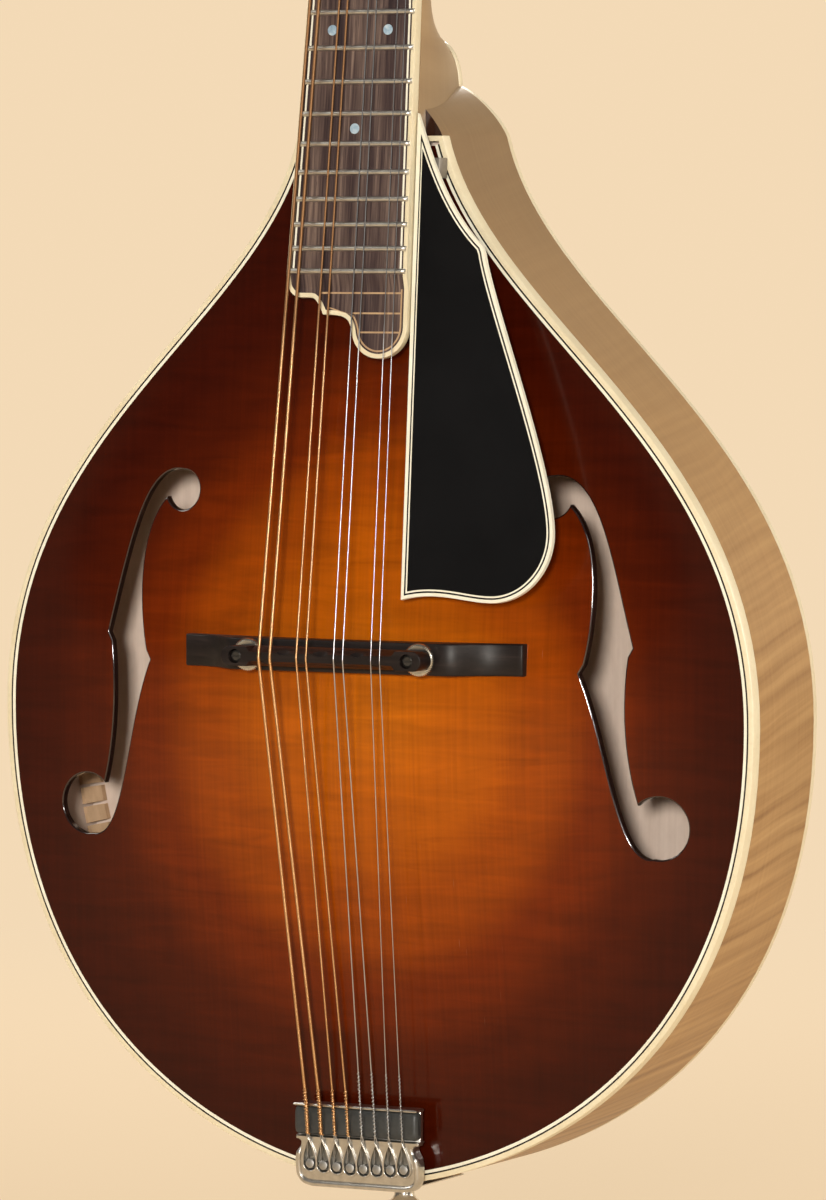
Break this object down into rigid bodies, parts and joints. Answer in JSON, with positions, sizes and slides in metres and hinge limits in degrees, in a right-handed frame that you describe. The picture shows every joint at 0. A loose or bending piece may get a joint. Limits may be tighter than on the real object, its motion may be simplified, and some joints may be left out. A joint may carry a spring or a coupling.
{
  "type": "mandolin",
  "caption": "A-style mandolin with a carved top and back, f-shaped sound holes, raised pickguard, adjustable bridge, cast tailpiece and geared tuning machines.",
  "frame": {"origin": "the middle of the neck just above the nut, where a hanger's arms hold it", "axes": "+Z runs from the body to the headstock, parallel to the body's edge; -Y is the side that faces the player's audience, where the strings are; +X is the treble side"},
  "size_m": [0.249, 0.1237, 0.6731],
  "materials": {
    "spruce": "gloss sunburst lacquer over straight-grained spruce",
    "flamed_maple": "gloss lacquer over flamed maple",
    "plain_wood": "bare sanded wood",
    "cream": "polished cream plastic",
    "ebony": "oiled ebony",
    "rosewood": "oiled rosewood with united nickel silver frets",
    "black_gloss": "polished black",
    "bone": "polished bone",
    "nickel": "nickel plate",
    "steel": "plain steel",
    "bronze": "bronze wound wire",
    "rubber": "black foam rubber"
  },
  "bodies": {
    "instrument": {"top_plate": "spruce", "back_plate": "flamed_maple", "rib_bass": "flamed_maple", "rib_treble": "flamed_maple", "top_lining_bass": "plain_wood", "top_lining_treble": "plain_wood", "back_lining_bass": "plain_wood", "back_lining_treble": "plain_wood", "head_block": "plain_wood", "tail_block": "plain_wood", "tone_bar_bass": "plain_wood", "tone_bar_treble": "plain_wood", "top_binding": "cream", "back_binding": "cream", "neck": "flamed_maple", "heel_cap": "flamed_maple", "truss_rod": "steel", "truss_rod_cover": "black_gloss", "fingerboard": "rosewood", "board_binding": "cream", "head_plate": "black_gloss", "nut": "bone", "bridge_base": "ebony", "bridge_stud_bass": "nickel", "bridge_stud_treble": "nickel", "tailpiece": "nickel", "damper_strip": "rubber", "strap_button": "nickel", "pickguard": "black_gloss", "pickguard_binding": "cream", "pickguard_bracket": "nickel", "machine_plate_bass": "nickel", "machine_plate_treble": "nickel", "string_1": "bronze", "string_2": "bronze", "string_3": "bronze", "string_4": "bronze", "string_5": "steel", "string_6": "steel", "string_7": "steel", "string_8": "steel"},
    "post_1": {"string_post_1": "nickel"},
    "knob_1": {"tuner_knob_1": "cream"},
    "post_2": {"string_post_2": "nickel"},
    "knob_2": {"tuner_knob_2": "cream"},
    "post_3": {"string_post_3": "nickel"},
    "knob_3": {"tuner_knob_3": "cream"},
    "post_4": {"string_post_4": "nickel"},
    "knob_4": {"tuner_knob_4": "cream"},
    "post_5": {"string_post_5": "nickel"},
    "knob_5": {"tuner_knob_5": "cream"},
    "post_6": {"string_post_6": "nickel"},
    "knob_6": {"tuner_knob_6": "cream"},
    "post_7": {"string_post_7": "nickel"},
    "knob_7": {"tuner_knob_7": "cream"},
    "post_8": {"string_post_8": "nickel"},
    "knob_8": {"tuner_knob_8": "cream"},
    "saddle": {"bridge_saddle": "ebony"},
    "wheel_bass": {"thumbwheel_bass": "nickel"},
    "wheel_treble": {"thumbwheel_treble": "nickel"}
  },
  "joints": [
    {"name": "knob_1_turn", "type": "hinge", "parent": "instrument", "child": "knob_1", "pos_m": [-0.019, 0.026, 0.02516], "axis": [-1, 0, 0], "continuous": true},
    {"name": "post_1_turn", "type": "hinge", "parent": "instrument", "child": "post_1", "pos_m": [-0.019, 0.0108, 0.03736], "axis": [0, -0.9283, 0.3718], "continuous": true},
    {"name": "knob_2_turn", "type": "hinge", "parent": "instrument", "child": "knob_2", "pos_m": [-0.019, 0.0347, 0.04688], "axis": [-1, 0, 0], "continuous": true},
    {"name": "post_2_turn", "type": "hinge", "parent": "instrument", "child": "post_2", "pos_m": [-0.019, 0.0195, 0.05909], "axis": [0, -0.9283, 0.3718], "continuous": true},
    {"name": "knob_3_turn", "type": "hinge", "parent": "instrument", "child": "knob_3", "pos_m": [-0.019, 0.0434, 0.06861], "axis": [-1, 0, 0], "continuous": true},
    {"name": "post_3_turn", "type": "hinge", "parent": "instrument", "child": "post_3", "pos_m": [-0.019, 0.0282, 0.08081], "axis": [0, -0.9283, 0.3718], "continuous": true},
    {"name": "knob_4_turn", "type": "hinge", "parent": "instrument", "child": "knob_4", "pos_m": [-0.019, 0.0521, 0.09033], "axis": [-1, 0, 0], "continuous": true},
    {"name": "post_4_turn", "type": "hinge", "parent": "instrument", "child": "post_4", "pos_m": [-0.019, 0.0369, 0.10253], "axis": [0, -0.9283, 0.3718], "continuous": true},
    {"name": "knob_5_turn", "type": "hinge", "parent": "instrument", "child": "knob_5", "pos_m": [0.019, 0.0521, 0.09033], "axis": [1, 0, 0], "continuous": true},
    {"name": "post_5_turn", "type": "hinge", "parent": "instrument", "child": "post_5", "pos_m": [0.019, 0.0369, 0.10253], "axis": [0, -0.9283, 0.3718], "continuous": true},
    {"name": "knob_6_turn", "type": "hinge", "parent": "instrument", "child": "knob_6", "pos_m": [0.019, 0.0434, 0.06861], "axis": [1, 0, 0], "continuous": true},
    {"name": "post_6_turn", "type": "hinge", "parent": "instrument", "child": "post_6", "pos_m": [0.019, 0.0282, 0.08081], "axis": [0, -0.9283, 0.3718], "continuous": true},
    {"name": "knob_7_turn", "type": "hinge", "parent": "instrument", "child": "knob_7", "pos_m": [0.019, 0.0347, 0.04688], "axis": [1, 0, 0], "continuous": true},
    {"name": "post_7_turn", "type": "hinge", "parent": "instrument", "child": "post_7", "pos_m": [0.019, 0.0195, 0.05909], "axis": [0, -0.9283, 0.3718], "continuous": true},
    {"name": "knob_8_turn", "type": "hinge", "parent": "instrument", "child": "knob_8", "pos_m": [0.019, 0.026, 0.02516], "axis": [1, 0, 0], "continuous": true},
    {"name": "post_8_turn", "type": "hinge", "parent": "instrument", "child": "post_8", "pos_m": [0.019, 0.0108, 0.03736], "axis": [0, -0.9283, 0.3718], "continuous": true},
    {"name": "saddle_height", "type": "slide", "parent": "instrument", "child": "saddle", "axis": [0, -1, 0], "range_m": [-0.0014, 0]},
    {"name": "thumbwheel_bass_turn", "type": "hinge", "parent": "saddle", "child": "wheel_bass", "pos_m": [-0.0283, -0.0467, -0.36], "axis": [0, -1, 0], "range_deg": [-631, 1]},
    {"name": "thumbwheel_treble_turn", "type": "hinge", "parent": "saddle", "child": "wheel_treble", "pos_m": [0.0283, -0.0467, -0.36], "axis": [0, -1, 0], "range_deg": [-631, 1]}
  ],
  "couplings": [
    {"joint": "post_1_turn", "follows": "knob_1_turn", "ratio": 0.071429},
    {"joint": "post_2_turn", "follows": "knob_2_turn", "ratio": 0.071429},
    {"joint": "post_3_turn", "follows": "knob_3_turn", "ratio": 0.071429},
    {"joint": "post_4_turn", "follows": "knob_4_turn", "ratio": 0.071429},
    {"joint": "post_5_turn", "follows": "knob_5_turn", "ratio": -0.071429},
    {"joint": "post_6_turn", "follows": "knob_6_turn", "ratio": -0.071429},
    {"joint": "post_7_turn", "follows": "knob_7_turn", "ratio": -0.071429},
    {"joint": "post_8_turn", "follows": "knob_8_turn", "ratio": -0.071429},
    {"joint": "thumbwheel_bass_turn", "follows": "saddle_height", "rad_per_m": 7854},
    {"joint": "thumbwheel_treble_turn", "follows": "saddle_height", "rad_per_m": 7854}
  ]
}
